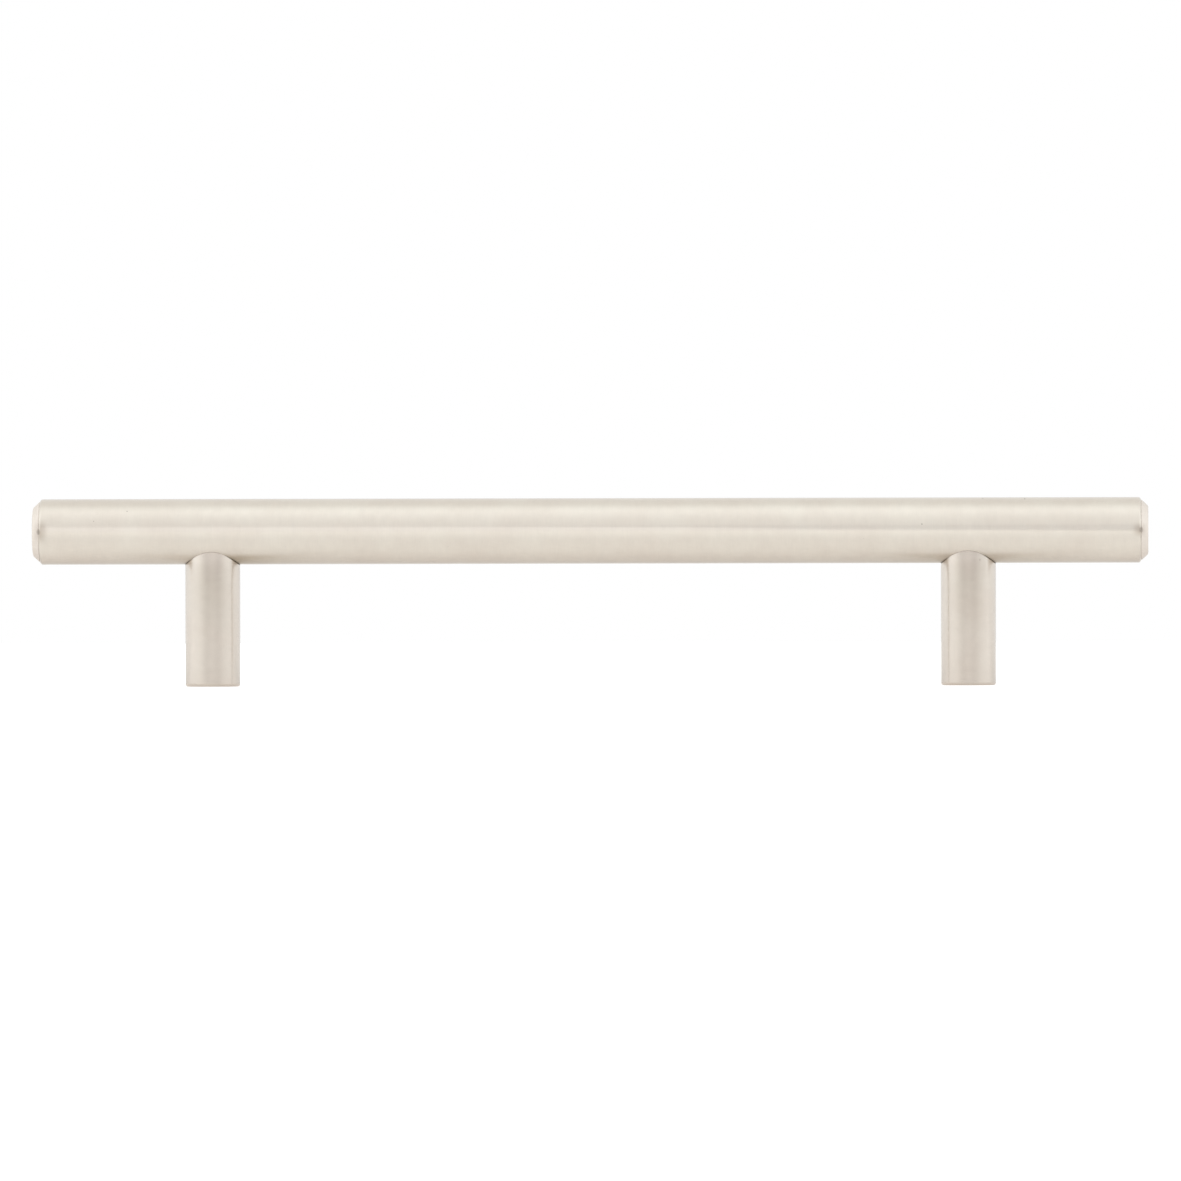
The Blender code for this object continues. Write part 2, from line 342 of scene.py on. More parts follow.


# What the joint of post and bar leaves on a post, and painted shade under the bar. Residue lies
# where the wall is within a quarter of a millimetre of the bar's skin (its distance from the bar's
# axis less the bar's radius), and only at the two sides of the saddle, further in on the right one.
# The painted shade under the bar lies on front and back, as beside⁴, darker towards the top, and
# less again by the saddle.
def makeJointResidueAndShade():
    size = residue
    group, given, result = newGroup(
        "jointResidueAndShade", {"Bar Height": barHeight, "Bar Radius": barRadius,
                         "Post Place": postX["right"], "Post Radius": postRadius},
        ["Residue", "Top Shade"])
    split = ownPlace(group)[1]
    rise = calc(group, "SUBTRACT", split["Z"], given["Bar Height"])
    span = calc(group, "SQRT", calc(group, "ADD", calc(group, "POWER", split["Y"], 2.0),
                                    calc(group, "POWER", rise, 2.0)))
    offSkin = calc(group, "SUBTRACT", span, given["Bar Radius"])
    near = softStep(group, offSkin, size["skinEdge"], 1.0, 0.0)
    fromAxis = calc(group, "SUBTRACT", calc(group, "ABSOLUTE", split["X"]), given["Post Place"])
    rightward = calc(group, "DIVIDE", product(group, fromAxis, calc(group, "SIGN", split["X"])),
                     given["Post Radius"])
    atSide = calc(group, "ADD", softStep(group, rightward, size["rightEdge"]),
                  softStep(group, rightward, size["leftEdge"], 1.0, 0.0))
    group.links.new(product(group, near, atSide), result["Residue"])
    # painted shade under the bar, on the posts' front and back
    beside = calc(group, "POWER", calc(group, "DIVIDE", split["Y"], given["Post Radius"]), 4.0)
    up = softStep(group, calc(group, "DIVIDE", split["Z"], given["Bar Height"]), size["topShadeEdge"],
                  size["topShadeLeast"], 1.0)
    clear = softStep(group, offSkin, size["clearEdge"], size["clearLeast"], 1.0)
    group.links.new(product(group, beside, up, clear), result["Top Shade"])
    return group


shade = dict(reach=15 * mm, falloff=1.5, underEdge=(0.66, 0.82), outerShare=0.2,
             outerEdge=(-66 * mm, -62 * mm), rightShare=0.5)


# Painted shade, the posts' mirrored shadow, on the bar's lower skin beside the posts: one less the
# distance from the post's wall along the bar as a share of Shade Reach, to the power of the falloff.
# It comes in where the skin faces the floor. It is strongest on the inner side of the left post, and
# faint on its outer side.
def makeJointShade():
    size = shade
    group, given, result = newGroup(
        "jointShade", {"Bar Height": barHeight, "Bar Radius": barRadius,
                       "Post Place": postX["right"], "Post Radius": postRadius,
                       "Shade Reach": size["reach"]}, ["Shade"])
    split = ownPlace(group)[1]
    offAxis = calc(group, "ABSOLUTE", calc(group, "SUBTRACT", calc(group, "ABSOLUTE", split["X"]),
                                           given["Post Place"]))
    gap = calc(group, "DIVIDE", calc(group, "SUBTRACT", offAxis, given["Post Radius"]),
               given["Shade Reach"])
    near = calc(group, "POWER", softStep(group, gap, (0.0, 1.0), 1.0, 0.0, "LINEAR"),
                size["falloff"])
    drop = calc(group, "DIVIDE", calc(group, "SUBTRACT", given["Bar Height"], split["Z"]),
                given["Bar Radius"])
    under = softStep(group, drop, size["underEdge"])
    inner = softStep(group, split["X"], size["outerEdge"], size["outerShare"], 1.0)
    right = lessAtRight(group, split["X"], size["rightShare"])
    group.links.new(product(group, near, under, inner, right), result["Shade"])
    return group


turnedGrain = makeTurnedGrain()
platingTone = makePlatingTone()
seamGrime = makeSeamGrime()
jointResidueAndShade = makeJointResidueAndShade()
jointShade = makeJointShade()


spread = dict(fine=(0.3, 0.7), broad=(0.25, 0.75))  # where most of the noises' values lie
# The colours that tarnish, specks and residue stain with, and those of two painted shades: beside
# the posts on the bar's underside, and under the bar on the posts' front and back.
stainsAndShade = dict(tarnish=(0.735, 0.70, 0.675), specks=(0.14, 0.10, 0.07), shade=(0.79, 0.76, 0.70),
              topShade=(0.775, 0.77, 0.745), residue=(0.12, 0.10, 0.075))


# Plated metal, brushed round its axis: two tones of plating, grain, pits and fine bump. The
# tangent runs along the profile, across the brush marks, which is how they stretch a highlight.
def metalFinish(name, finish):
    material = bpy.data.materials.new(name)
    material.use_nodes = True
    tree = material.node_tree
    shader = tree.nodes["Principled BSDF"].inputs
    shader["Metallic"].default_value = 1.0
    shader["Anisotropic"].default_value = finish["stretch"]
    grain = useGroup(tree, turnedGrain, Marks_Per_Metre=finish["marks"],
                     Wander=finish["wander"], Shift=finish["shift"])
    tone = useGroup(tree, platingTone, Pit_Cut=finish["pitCut"])
    color = blend(tree, softStep(tree, tone["Cloud"], spread["fine"]),
                  (*finish["warm"], 1), (*finish["cool"], 1))
    streak = softStep(tree, grain["Broad"], spread["broad"], 1 - finish["streak"],
                      1 + finish["streak"], "LINEAR")
    hair = softStep(tree, grain["Fine"], spread["fine"], 1 - finish["hair"],
                    1 + finish["hair"], "LINEAR")
    color = blend(tree, 1.0, color, calc(tree, "MULTIPLY", streak, hair), "MULTIPLY")
    color = blend(tree, tone["Pits"], color, (*finish["pit"], 1))
    if finish["joint"] == "seam":
        settled = useGroup(tree, seamGrime)
        # painted shade beside the posts, on the bar's underside
        paintedShade = useGroup(tree, jointShade)["Shade"]
        color = blend(tree, settled["Tarnish"], color, (*stainsAndShade["tarnish"], 1), "MULTIPLY")
        color = blend(tree, settled["Specks"], color, (*stainsAndShade["specks"], 1))
        color = blend(tree, paintedShade, color, (*stainsAndShade["shade"], 1), "MULTIPLY")
    if finish["joint"] == "saddle":
        settled = useGroup(tree, jointResidueAndShade)
        # painted shade under the bar on the posts' front and back
        color = blend(tree, settled["Top Shade"], color, (*stainsAndShade["topShade"], 1), "MULTIPLY")
        color = blend(tree, settled["Residue"], color, (*stainsAndShade["residue"], 1))
    feed(tree, color, shader["Base Color"])
    rough = softStep(tree, grain["Fine"], spread["fine"], finish["rough"] - finish["uneven"],
                     finish["rough"] + finish["uneven"], "LINEAR")
    feed(tree, rough, shader["Roughness"])
    bump = addNode(tree, "ShaderNodeBump", Strength=1.0, Distance=finish["depth"],
                   Height=grain["Fine"])
    feed(tree, bump.outputs["Normal"], shader["Normal"])
    along = addNode(tree, "ShaderNodeTangent", dict(direction_type="UV_MAP", uv_map="turned"))
    feed(tree, along.outputs["Tangent"], shader["Tangent"])
    return material


zinc = dict(warm=(0.60, 0.62, 0.64), cool=(0.66, 0.68, 0.70), pit=(0.3, 0.3, 0.3),
            cloudScale=400.0, rough=(0.30, 0.38))


# Bright zinc plate for the hidden studs and nuts, by their own place.
def zincPlate():
    material = bpy.data.materials.new("zincPlate")
    material.use_nodes = True
    tree = material.node_tree
    shader = tree.nodes["Principled BSDF"].inputs
    shader["Metallic"].default_value = 1.0
    tone = useGroup(tree, platingTone, Cloud_Scale=zinc["cloudScale"])
    color = blend(tree, softStep(tree, tone["Cloud"], spread["fine"]),
                  (*zinc["warm"], 1), (*zinc["cool"], 1))
    feed(tree, blend(tree, tone["Pits"], color, (*zinc["pit"], 1)), shader["Base Color"])
    feed(tree, softStep(tree, tone["Cloud"], spread["fine"], *zinc["rough"]), shader["Roughness"])
    return material


brushed = dict(pit=(0.12, 0.09, 0.07), streak=0.026, hair=0.02, marks=9000, wander=2.5,
               depth=0.4e-6, pitCut=0.8, uneven=0.02)
barFinish = metalFinish("barSatinNickel", dict(
    brushed, warm=(0.737, 0.673, 0.594), cool=(0.763, 0.707, 0.626), rough=0.34, stretch=0.95,
    shift=0.0, joint="seam"))
# The posts' colour is darker than the bar's, partly their own plating and partly painted shade.
postFinish = metalFinish("postSatinNickel", dict(
    brushed, warm=(0.632, 0.564, 0.50), cool=(0.642, 0.581, 0.517), rough=0.23, stretch=0.1,
    shift=3.0, joint="saddle"))
# The caps' colour is a little lighter than the bar's, partly their own plating and partly painted
# light.
capFinish = metalFinish("capSatinNickel", dict(
    brushed, warm=(0.765, 0.70, 0.635), cool=(0.775, 0.715, 0.655), rough=0.6, stretch=0.1,
    wander=1.5, shift=6.0, joint="seam"))
zincFinish = zincPlate()


# Give a piece its finish in a new slot and its body, and hide the node it replaces.
def dress(piece, finish, node):
    piece.data.materials.append(finish)
    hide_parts(node)
    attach(piece, "root")


# Bar tube

barTube = dict(wall=1.0 * mm, endRound=0.5 * mm, boreChamfer=0.2 * mm, fine=0.03 * mm,
               around=256, lengthSteps=90, holeRadius=2.3 * mm, holeDepth=4.0 * mm,
               holeAround=96, holeReach=1.01, holeLean=0.99, skinLean=0.999)


# The studs' clearance holes in the lower wall.
def cutStudHoles(tube):
    size = barTube
    for x in postX.values():
        bpy.ops.mesh.primitive_cylinder_add(
            vertices=size["holeAround"], radius=size["holeRadius"], depth=size["holeDepth"],
            location=(x, 0, barHeight - barRadius))
        drill = bpy.context.object
        cut = tube.modifiers.new("studHole", "BOOLEAN")
        cut.operation, cut.solver, cut.object = "DIFFERENCE", "EXACT", drill
        solid = tube.evaluated_get(bpy.context.evaluated_depsgraph_get())
        tube.data = bpy.data.meshes.new_from_object(solid)
        tube.modifiers.clear()
        bpy.data.objects.remove(drill)


# The cut tube's normals. Every corner on the straight skin gets the tube's own one again (its place
# off the axis, outwards or into the bore), every corner in a hole the one towards the hole's axis,
# and the rounded ends keep theirs.
def restoreNormals(mesh):
    size = barTube
    count = len(mesh.loops)
    vertex, place = np.empty(count, np.int32), np.empty(len(mesh.vertices) * 3)
    normals, faceNormals = np.empty(count * 3), np.empty(len(mesh.polygons) * 3)
    sides = np.empty(len(mesh.polygons), np.int32)
    mesh.loops.foreach_get("vertex_index", vertex)
    mesh.vertices.foreach_get("co", place)
    mesh.corner_normals.foreach_get("vector", normals)
    mesh.polygons.foreach_get("normal", faceNormals)
    mesh.polygons.foreach_get("loop_total", sides)
    place, normals = place.reshape(-1, 3)[vertex], normals.reshape(-1, 3)
    face = np.repeat(faceNormals.reshape(-1, 3), sides, axis=0)
    offAxis = (place - (0, 0, barHeight)) * (0, 1, 1)
    offAxis /= np.linalg.norm(offAxis, axis=1, keepdims=True)
    lean = (offAxis * face).sum(1, keepdims=True)
    normals = np.where(np.abs(lean) > size["skinLean"], offAxis * np.sign(lean), normals)
    for x in postX.values():
        toHole = (np.array([x, 0, 0]) - place) * (1, 1, 0)
        reach = np.linalg.norm(toHole, axis=1, keepdims=True)
        lean = (toHole * face).sum(1, keepdims=True) / reach
        inHole = (reach < size["holeRadius"] * size["holeReach"]) & (lean > size["holeLean"])
        normals = np.where(inHole, toHole / reach, normals)
    mesh.normals_split_custom_set(normals.tolist())


# The tube: the wall's section, a long rectangle with rounded corners, spun about the bar's axis.
def makeBarTube():
    size = barTube
    bore = barRadius - size["wall"]
    mouth = bore + size["boreChamfer"]
    end = seam["place"] - seam["width"]
    inside = end - size["boreChamfer"]
    corners = [
        (end, barRadius, size["endRound"]), (-end, barRadius, size["endRound"]),
        (-end, mouth, size["fine"]), (-inside, bore, size["fine"]),
        (inside, bore, size["fine"]), (end, mouth, size["fine"])]
    points, normals = roundedPath(corners, closed=True)
    # the two long straights, after corners 0 and 3, get steps, so that no face is a long sliver
    perCorner = len(points) // len(corners)
    t = np.linspace(0, 1, size["lengthSteps"] + 1)[1:-1, None]
    pieces, pieceNormals, last = [], [], 0
    for corner in (0, 3):
        start = (corner + 1) * perCorner - 1
        pieces += [points[last:start + 1], points[start] * (1 - t) + points[start + 1] * t]
        pieceNormals += [normals[last:start + 1], np.repeat(normals[start:start + 1], len(t), 0)]
        last = start + 1
    points = np.vstack(pieces + [points[last:]])
    normals = np.vstack(pieceNormals + [normals[last:]])
    grid, gridNormals = spun(points, normals, size["around"])
    tube = gridPiece("barTube", grid, gridNormals, pathLength(points), closed=True)
    cutStudHoles(tube)
    restoreNormals(tube.data)
    dress(tube, barFinish, "bar_tube")


# End caps

endCap = dict(land=0.15 * mm, chamfer=0.97 * mm, cornerRound=0.65 * mm, rimRound=0.12 * mm,
              seatRound=0.015 * mm, spigotGap=0.3 * mm, spigotChamfer=0.5 * mm, fine=0.05 * mm,
              around=192)


# A turned plug: face, softened chamfer, rim and spigot, spun about the bar's axis.
def makeEndCap(side):
    size = endCap
    rim = barRadius - barTube["endRound"]
    spigot = barRadius - barTube["wall"] - size["spigotGap"]
    seat = seam["place"]
    foot = capLow.x
    fine = size["fine"]
    corners = [
        (barTip, 0, 0), (barTip, rim - size["chamfer"], size["cornerRound"]),
        (seat + size["land"], rim, size["rimRound"]), (seat, rim, size["seatRound"]),
        (seat, spigot, fine), (foot + size["spigotChamfer"], spigot, fine),
        (foot, spigot - size["spigotChamfer"], fine), (foot, 0, 0)]
    points, normals = roundedPath(corners, closed=False)
    facing = 1 if side == "right" else -1
    grid, gridNormals = spun(points, normals, size["around"], facing)
    cap = gridPiece(f"endCap{side.title()}", grid, gridNormals, pathLength(points),
                    poles=(True, True))
    dress(cap, capFinish, f"end_cap_{side}")


# Posts

post = dict(saddleGap=0.01 * mm, rimRound=0.02 * mm, crestWear=0.3 * mm, crestHeight=5.0 * mm,
            crestPower=1.5, studHole=2.3 * mm, studGap=0.3 * mm, baseRound=0.5 * mm,
            fine=0.04 * mm, tapRadius=1.65 * mm, mouthChamfer=0.5 * mm, threadMajor=2.0 * mm,
            threadPitch=0.7 * mm, threadFlat=0.125, web=1.5 * mm, pointAngle=118, around=192,
            holeSteps=8, saddleSteps=24, rimSteps=12, wallSteps=60, wallBunching=1.5,
            threadSteps=260)
postAngle = np.linspace(0, 2 * pi, post["around"], endpoint=False)[None, :]
postCos, postSin = np.cos(postAngle), np.sin(postAngle)
postWear = post["crestWear"] * postSin**4  # the crests at front and back are worn back
saddleReach = barRadius + post["saddleGap"]
pointSlope = 1 / tan(radians(post["pointAngle"] / 2))
studFloor = studLow.z - post["studGap"]
studTip = studFloor - post["studHole"] * pointSlope
screwTip = studTip - post["web"]


# Height of a surface round the bar's axis: the axis less the root of reach² less beside².
def saddleHeight(beside, reach):
    return barHeight - np.sqrt(reach**2 - beside**2)


# Rows round the post's axis: radius times cosine and sine of the angle, at a height, with normals
# from an outward and an upward part.
def ring(radius, height, outward, upward):
    shape = np.broadcast_shapes(radius.shape, height.shape, postAngle.shape)
    grids = [np.broadcast_to(grid, shape) for grid in (radius, height, outward, upward)]
    points, normals = [np.stack([out * postCos, out * postSin, up], 2)
                       for out, up in (grids[:2], grids[2:])]
    return points, normals


# Stretches of the skin joined into one, each with its points and its normals.
def joined(stretches):
    return [np.concatenate(grids) for grids in zip(*stretches)]


# The stud's hole: the drill's cone from its tip, and the wall up to just below the saddle.
def studHoleRows():
    bore, fine = post["studHole"], post["fine"]
    cone, normals = roundedPath(
        [(studTip, 0, 0), (studFloor, bore, fine), (barHeight, bore, 0)], closed=False)
    cone, normals = cone[:-1], normals[:-1]
    top = saddleHeight(bore * postSin, saddleReach) - fine
    t = shares(post["holeSteps"], first=False)
    return joined([ring(cone[:, 1:], cone[:, :1], normals[:, 1:], normals[:, :1]),
                   ring(np.full((1, 1), bore), cone[-1, 0] * (1 - t) + top * t, -1.0, 0.0)])


# A small ball that rolls in the corner of wall and saddle: its centre, and the ways from there to
# the wall and to the saddle. The centre lies inside the worn wall by the ball's radius, at the
# height of a saddle that is wider by the same.
def rimBall():
    rim = post["rimRound"]
    inset = postRadius - postWear - rim
    height = saddleHeight(inset * postSin, saddleReach + rim)
    center = np.stack([inset * postCos, inset * postSin, height], 2)
    toWall = np.stack([postCos, postSin, post["crestPower"] * postWear / post["crestHeight"]], 2)
    toWall /= np.linalg.norm(toWall, axis=2, keepdims=True)
    toSaddle = np.stack([0 * postAngle, -center[..., 1], barHeight - height], 2)
    toSaddle /= saddleReach + rim
    return center, toWall, toSaddle


# The saddle, at saddleHeight from the stud hole's edge to where the ball touches it, and the rim,
# an arc about the ball's centre whose normals swing from the saddle's to the wall's.
def saddleRows(center, toWall, toSaddle):
    rim = post["rimRound"]
    t = shares(post["saddleSteps"])[..., None]
    inner = (post["studHole"] + post["fine"]) * np.stack([postCos, postSin], 2)
    outer = (center + rim * toSaddle)[..., :2]
    place = inner * (1 - t) + outer * t
    height = saddleHeight(place[..., 1], saddleReach)
    normals = np.stack([0 * height, -place[..., 1], barHeight - height], 2) / saddleReach
    saddle = np.dstack([place, height]), normals
    t = shares(post["rimSteps"], first=False)[..., None]
    swing = np.arccos((toWall * toSaddle).sum(2, keepdims=True))
    normals = (np.sin(t * swing) * toWall + np.sin((1 - t) * swing) * toSaddle) / np.sin(swing)
    return joined([saddle, (center + rim * normals, normals)])


# The outer wall, down to the rounded base. Its radius is the post's less the wear times the share
# of crestHeight that is left, to crestPower, and its normals lean by that radius's slopes, round
# the axis and upwards.
def wallRows(top):
    power = post["crestPower"]
    t = shares(post["wallSteps"], first=False) ** post["wallBunching"]
    height = top * (1 - t) + post["baseRound"] * t
    share = np.clip(1 - (top - height) / post["crestHeight"], 0, 1)
    radius = postRadius - postWear * share**power
    rising = power * postWear * share ** (power - 1) / post["crestHeight"]
    turning = np.gradient(radius, postAngle[0], axis=1) / radius
    normals = np.stack([postCos + turning * postSin, postSin - turning * postCos, rising], 2)
    normals /= np.linalg.norm(normals, axis=2, keepdims=True)
    return np.stack([radius * postCos, radius * postSin, height], 2), normals


# The rounded base, its flat face and the chamfer in the screw hole's mouth.
def baseRows():
    tap, mouth = post["tapRadius"], post["mouthChamfer"]
    base, normals = roundedPath(
        [(post["baseRound"] * 2, postRadius, 0), (0, postRadius, post["baseRound"]),
         (0, tap + mouth, post["fine"]), (mouth, tap, 0)], closed=False)
    base, normals = base[2:-1], normals[2:-1]
    return ring(base[:, 1:], base[:, :1], normals[:, 1:], normals[:, :1])


# The screw hole: an M4 thread that starts in the mouth's chamfer and fades out at the tap's end,
# and the drill's tip. The radius is the tap's plus the thread's depth times a ramp, which rises and
# falls once a pitch, moves up by a pitch each turn and is held at both ends by threadFlat.
def screwHoleRows(start):
    tap, pitch, flat = post["tapRadius"], post["threadPitch"], post["threadFlat"]
    wallEnd = screwTip - tap * pointSlope
    t = shares(post["threadSteps"])
    height = start * (1 - t) + wallEnd * t + 0 * postAngle
    phase = (height / pitch - postAngle / (2 * pi)) % 1.0
    ramp = 1 - np.abs(2 * phase - 1)
    flank = np.clip(ramp * (1 + 2 * flat) - flat, 0, 1)
    fade = np.clip((wallEnd - height) / pitch - 1, 0, 1)
    thread = tap + (post["threadMajor"] - tap) * flank * fade
    radius = np.maximum(thread, tap + post["mouthChamfer"] - height)
    slope = np.gradient(radius, axis=0) / np.gradient(height, axis=0)
    scale = 1 / np.sqrt(1 + slope**2)
    points = np.stack([radius * postCos, radius * postSin, height], 2)
    normals = np.stack([-postCos * scale, -postSin * scale, slope * scale], 2)
    tip = np.array([[0.0]])
    return joined([(points[1:], normals[1:]), ring(tip, tip + screwTip, 0.0, -1.0)])


# A post, as one skin from the stud hole's tip to the screw hole's tip.
def makePost(side):
    ball = rimBall()
    upper = joined([studHoleRows(), saddleRows(*ball), wallRows(ball[0][..., 2])])
    base = baseRows()
    lower = joined([base, screwHoleRows(base[0][-1, 0, 2])])
    grid, gridNormals = joined([upper, lower])
    along = pathLength(grid)
    footRow = len(upper[0]) - 1
    along = along - along[footRow]  # brush marks keep level on the wall, counted from its foot
    grid = grid + np.array([postX[side], 0, 0])
    piece = gridPiece(f"post{side.title()}", grid, gridNormals, along, poles=(True, True))
    dress(piece, postFinish, f"post_{side}")


makeBarTube()
for side in postX:
    makeEndCap(side)
    makePost(side)
for node in ("stud_left", "stud_right", "tube_nut_left", "tube_nut_right"):
    bpy.data.objects[node].data.materials.clear()
    bpy.data.objects[node].data.materials.append(zincFinish)
print("pieces made")


# Floor, tent, film and camera

floorSheet = dict(
    width=6.0, lift=0.005 * mm, seenGlow=0.62, footGlow=0.5, openGlow=0.35,
    footReach=(6.5 * mm, 9 * mm), outer=(0.71, 0.70, 0.69), outerStart=(112 * mm, 130 * mm),
    outerDepth=(20 * mm, 45 * mm),
    tones=[  # millimetres behind the bar, and the paper's tone there, darkened as the bar's painted shadow
        (-300, (0.75, 0.74, 0.73)), (-150, (0.72, 0.71, 0.70)), (-86, (0.681, 0.676, 0.671)),
        (-60, (0.648, 0.641, 0.633)), (-42, (0.633, 0.622, 0.614)), (-32, (0.646, 0.634, 0.624)),
        (-19, (0.66, 0.645, 0.632)), (-10, (0.653, 0.636, 0.622)), (-4, (0.628, 0.604, 0.588)),
        (4, (0.558, 0.53, 0.512)), (10, (0.508, 0.476, 0.456)), (20, (0.431, 0.40, 0.381)),
        (35, (0.362, 0.34, 0.328)), (60, (0.47, 0.46, 0.45)), (120, (0.71, 0.71, 0.71))])


# Stops on a colour ramp, as rows of (share, colour) with the first share 0.
def setStops(ramp, stops):
    elements = ramp.color_ramp.elements
    elements.remove(elements[1])
    for share, color in stops:
        stop = elements[0] if share == 0 else elements.new(share)
        stop.color = (*color, 1)


# White paper that shows only from above, its tone darkened near and behind the bar as the bar's
# painted shadow. To the camera it is plain white: its own light is added where the camera or a
# mirror looks at it, more of it close round the feet, by the distance from a post's axis. It is
# lighter beyond the bar's ends, where the painted shadow stops, which only the posts' sides mirror.
def floorPaper():
    material = bpy.data.materials.new("floorPaper")
    material.use_nodes = True
    tree = material.node_tree
    tree.nodes.clear()
    split = ownPlace(tree)[1]
    first, last = floorSheet["tones"][0][0], floorSheet["tones"][-1][0]
    # the paper's tone by the distance behind the bar, darkened as the bar's painted shadow
    tone = addNode(tree, "ShaderNodeValToRGB",
                   Fac=softStep(tree, split["Y"], (first * mm, last * mm), kind="LINEAR"))
    setStops(tone, [((distance - first) / (last - first), color)
                    for distance, color in floorSheet["tones"]])
    along = calc(tree, "ABSOLUTE", split["X"])
    depth = calc(tree, "ABSOLUTE", split["Y"])
    outside = product(tree, softStep(tree, along, floorSheet["outerStart"]),
                      softStep(tree, depth, floorSheet["outerDepth"], 1.0, 0.0))
    color = blend(tree, outside, tone.outputs["Color"], (*floorSheet["outer"], 1))
    paper = addNode(tree, "ShaderNodeBsdfDiffuse", Color=color).outputs[0]
    toPost = calc(tree, "SUBTRACT", along, postX["right"])
    reach = calc(tree, "SQRT", calc(tree, "ADD", product(tree, toPost, toPost),
                                    product(tree, depth, depth)))
    mirroredGlow = softStep(tree, reach, floorSheet["footReach"], floorSheet["footGlow"],
                            floorSheet["openGlow"])
    path = addNode(tree, "ShaderNodeLightPath").outputs
    mirrored = calc(tree, "MAXIMUM", path["Is Glossy Ray"], path["Is Transmission Ray"])
    strength = calc(tree, "MULTIPLY_ADD", path["Is Camera Ray"], floorSheet["seenGlow"],
                    product(tree, mirrored, mirroredGlow))
    glow = addNode(tree, "ShaderNodeEmission", Color=(1, 1, 1, 1), Strength=strength).outputs[0]
    seen = addNode(tree, "ShaderNodeAddShader")
    mix = addNode(tree, "ShaderNodeMixShader")
    output = addNode(tree, "ShaderNodeOutputMaterial")
    feed(tree, paper, seen.inputs[0])
    feed(tree, glow, seen.inputs[1])
    feed(tree, addNode(tree, "ShaderNodeNewGeometry").outputs["Backfacing"], mix.inputs[0])
    feed(tree, seen.outputs[0], mix.inputs[1])
    feed(tree, addNode(tree, "ShaderNodeBsdfTransparent").outputs[0], mix.inputs[2])
    feed(tree, mix.outputs[0], output.inputs["Surface"])
    return material


# The sheet lies a hair above the feet.
def makeFloor():
    bpy.ops.mesh.primitive_plane_add(size=floorSheet["width"], location=(0, 0, floorSheet["lift"]))
    floor = bpy.context.object
    floor.name = "floorSheet"
    floor.data.materials.append(floorPaper())


tent = dict(
    level=0.4,  # the ramps hold this much of each tone, so that tones above 1 fit in them
    round=[  # degrees about the bar: 0 towards the lens, 90 overhead, 180 behind
        (-180, (0.9, 0.9, 0.9)), (-90, (0.97, 0.97, 0.97)), (-45, (1.27, 1.27, 1.27)),
        (-28, (1.44, 1.45, 1.45)), (-12, (1.68, 1.70, 1.70)), (2, (2.04, 2.07, 2.07)),
        (7, (2.13, 2.17, 2.17)), (12, (2.085, 2.12, 2.12)), (18, (1.68, 1.70, 1.69)),
        (24, (1.57, 1.59, 1.58)), (30, (1.52, 1.541, 1.53)), (45, (1.38, 1.40, 1.40)),
        (60, (1.315, 1.335, 1.345)), (75, (1.285, 1.307, 1.317)), (90, (1.155, 1.187, 1.19)),
        (110, (0.975, 0.985, 0.975)), (131, (0.925, 0.924, 0.914)), (180, (0.865, 0.865, 0.865))],
    sides=[  # degrees of the compass: 0 towards the lens, 90 to the right
        (-180, (1.0, 1.0, 1.0)), (-143, (1.11, 1.14, 1.15)), (-122, (1.30, 1.345, 1.365)),
        (-105, (1.478, 1.53, 1.562)), (-88, (1.487, 1.54, 1.57)), (-71, (1.362, 1.404, 1.435)),
        (-61, (1.205, 1.236, 1.257)), (-50, (1.01, 1.023, 1.033)), (-36, (0.736, 0.736, 0.746)),
        (-22, (0.556, 0.551, 0.561)), (-8, (0.561, 0.551, 0.561)), (2, (0.588, 0.578, 0.588)),
        (12, (0.556, 0.546, 0.556)), (24, (0.545, 0.535, 0.545)), (36, (0.659, 0.649, 0.659)),
        (50, (0.878, 0.885, 0.895)), (61, (1.05, 1.07, 1.09)), (71, (1.235, 1.265, 1.285)),
        (88, (1.417, 1.463, 1.494)), (105, (1.35, 1.394, 1.415)), (122, (1.23, 1.27, 1.29)),
        (150, (1.05, 1.06, 1.07))])


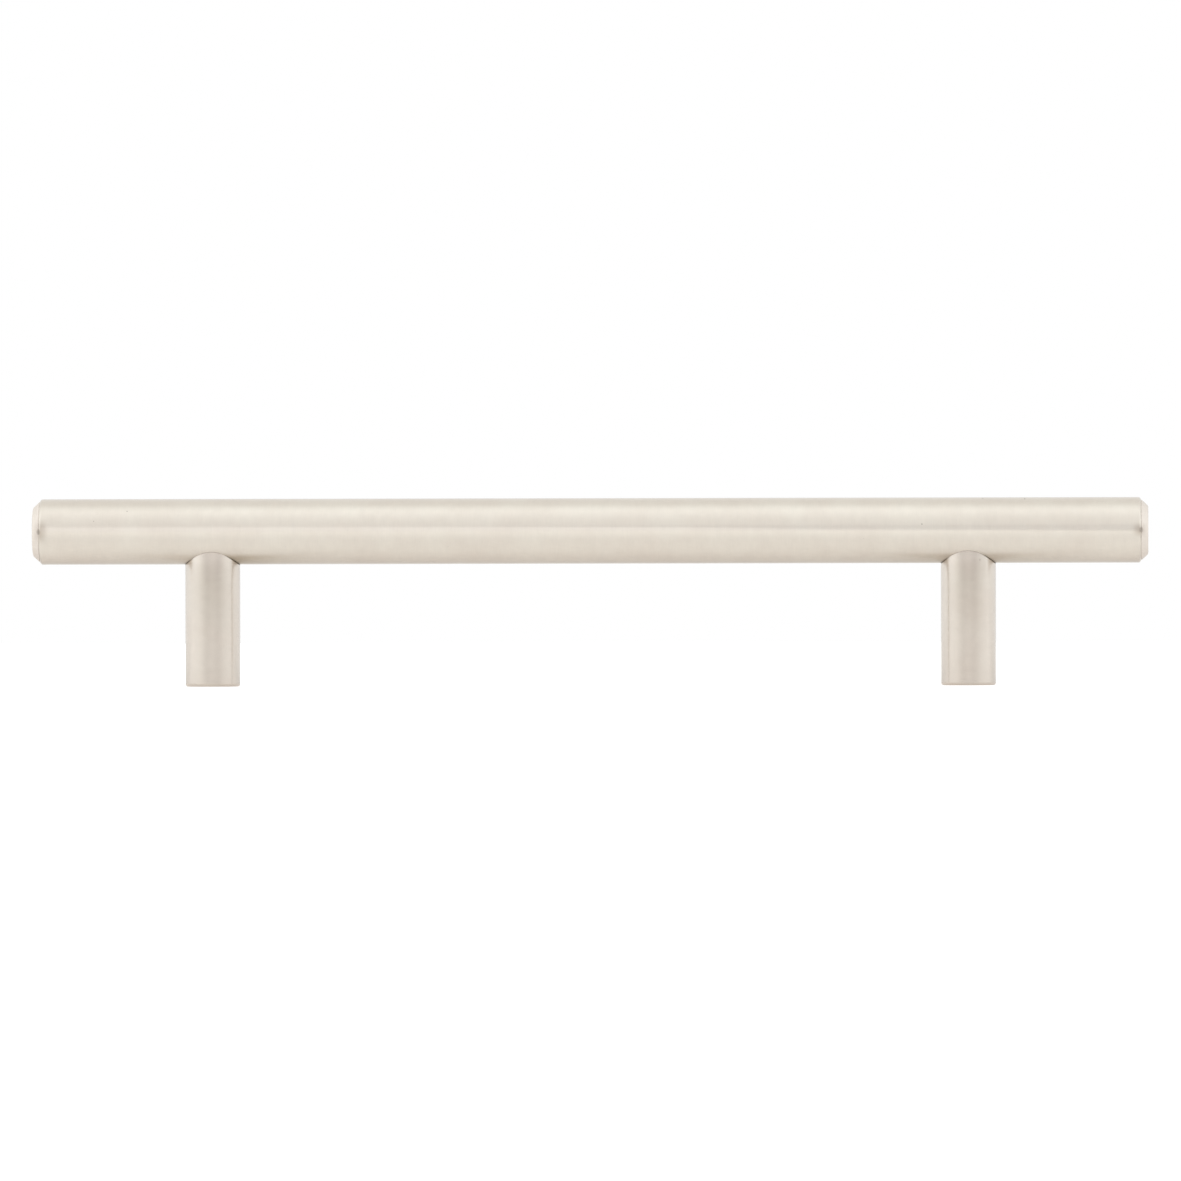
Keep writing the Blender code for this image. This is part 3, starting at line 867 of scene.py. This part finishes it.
# A white tent: white, tinted by the angle round the bar and by the compass angle. The first tint
# fades towards the bar's two ends and the second towards the top and the floor, each by one less
# the square of that share of the direction. The camera sees plain white.
def makeTent():
    world = bpy.data.worlds.new("tent")
    bpy.context.scene.world = world
    world.use_nodes = True
    tree = world.node_tree
    tree.nodes.clear()
    place = addNode(tree, "ShaderNodeTexCoord").outputs["Generated"]
    split = addNode(tree, "ShaderNodeSeparateXYZ", Vector=place).outputs
    toward = calc(tree, "MULTIPLY", split["Y"], -1.0)
    tints = []
    level = tent["level"]
    for axis, end, stops in (("Z", "X", tent["round"]), ("X", "Z", tent["sides"])):
        angle = calc(tree, "ARCTAN2", split[axis], toward)
        share = softStep(tree, angle, (-pi, pi), kind="LINEAR")
        ramp = addNode(tree, "ShaderNodeValToRGB", Fac=share)
        setStops(ramp, [((degrees + 180) / 360, [channel * level for channel in color])
                        for degrees, color in stops])
        square = product(tree, split[end], split[end])
        tints.append(blend(tree, calc(tree, "SUBTRACT", 1.0, square), (level, level, level, 1),
                           ramp.outputs["Color"]))
    both = blend(tree, 1.0, *tints, "MULTIPLY")
    cloth = addNode(tree, "ShaderNodeBackground", Color=both, Strength=1 / level**2)
    white = addNode(tree, "ShaderNodeBackground", Color=(1, 1, 1, 1), Strength=1.0)
    path = addNode(tree, "ShaderNodeLightPath").outputs
    seen = calc(tree, "MAXIMUM", path["Is Camera Ray"], path["Is Transmission Ray"])
    mix = addNode(tree, "ShaderNodeMixShader")
    output = addNode(tree, "ShaderNodeOutputWorld")
    feed(tree, seen, mix.inputs[0])
    feed(tree, cloth.outputs[0], mix.inputs[1])
    feed(tree, white.outputs[0], mix.inputs[2])
    feed(tree, mix.outputs[0], output.inputs["Surface"])


film = dict(
    ahead=25 * mm, top=10 * mm, fade=(6.3 * mm, 8.1 * mm), dim=0.205,
    lowerEdge=[  # millimetres along the bar, and above its middle
        (-130, 7.8), (-90, 7.5), (-45, 6.8), (-10, 6.0), (20, 4.6), (34, 1.8), (44, 0.9),
        (52, 1.1), (62, 0.7), (76, -0.1), (92, -1.2), (140, -2.0)])


# What the metal mirrors through the film loses a fifth, and less towards the film's top. Only
# mirror rays see it.
def greyFilm():
    material = bpy.data.materials.new("greyFilm")
    material.use_nodes = True
    tree = material.node_tree
    tree.nodes.clear()
    height = ownPlace(tree)[1]["Z"]
    low, high = [barHeight + level for level in film["fade"]]
    loss = softStep(tree, height, (low, high), film["dim"], 0.0)
    mirrored = addNode(tree, "ShaderNodeLightPath").outputs["Is Glossy Ray"]
    passed = calc(tree, "SUBTRACT", 1.0, calc(tree, "MULTIPLY", loss, mirrored))
    tint = addNode(tree, "ShaderNodeCombineColor", Red=passed, Green=passed, Blue=passed)
    clear = addNode(tree, "ShaderNodeBsdfTransparent", Color=tint.outputs[0])
    output = addNode(tree, "ShaderNodeOutputMaterial")
    feed(tree, clear.outputs[0], output.inputs["Surface"])
    return material


# A thin film between the lens and the bar, from its lower edge up to a level top. It makes the
# bar's bright band narrower to the right.
def makeFilm():
    edge = np.array(film["lowerEdge"]) * mm
    rows = [np.stack([edge[:, 0], np.full(len(edge), -film["ahead"]), barHeight + height], 1)
            for height in (edge[:, 1], np.full(len(edge), film["top"]))]
    after = np.arange(len(edge) - 1)
    faces = np.stack([after, after + 1, after + 1 + len(edge), after + len(edge)], 1)
    mesh = bpy.data.meshes.new("filmSheet")
    mesh.from_pydata(np.vstack(rows).tolist(), [], faces.tolist())
    mesh.materials.append(greyFilm())
    sheet = bpy.data.objects.new("filmSheet", mesh)
    bpy.context.scene.collection.objects.link(sheet)


lens = dict(azimuth=1.85, elevation=-0.03, roll=0.11,  # degrees
            distance=3.0, targetX=0.025 * mm, targetZ=16.17 * mm, clip=(0.1, 100),
            focalPixels=17720, imageWidth=1181, sensorWidth=36)  # pixels, and millimetres


# A long lens at the photograph's angle, turned about its own axis by the roll.
def makeCamera():
    azimuth, elevation = radians(lens["azimuth"]), radians(lens["elevation"])
    target = np.array([lens["targetX"], 0, lens["targetZ"]])
    back = np.array([sin(azimuth) * cos(elevation), -cos(azimuth) * cos(elevation),
                     sin(elevation)])
    data = bpy.data.cameras.new("longLens")
    data.sensor_width = lens["sensorWidth"]
    data.lens = lens["focalPixels"] * lens["sensorWidth"] / lens["imageWidth"]
    data.clip_start, data.clip_end = lens["clip"]
    camera = bpy.data.objects.new("longLens", data)
    camera.location = target + back * lens["distance"]
    camera.rotation_euler = (pi / 2 - elevation, radians(lens["roll"]), azimuth)
    bpy.context.scene.collection.objects.link(camera)
    bpy.context.scene.camera = camera


makeFloor()
makeTent()
makeFilm()
makeCamera()
bpy.context.scene.view_settings.view_transform = "Standard"
print("stage set")
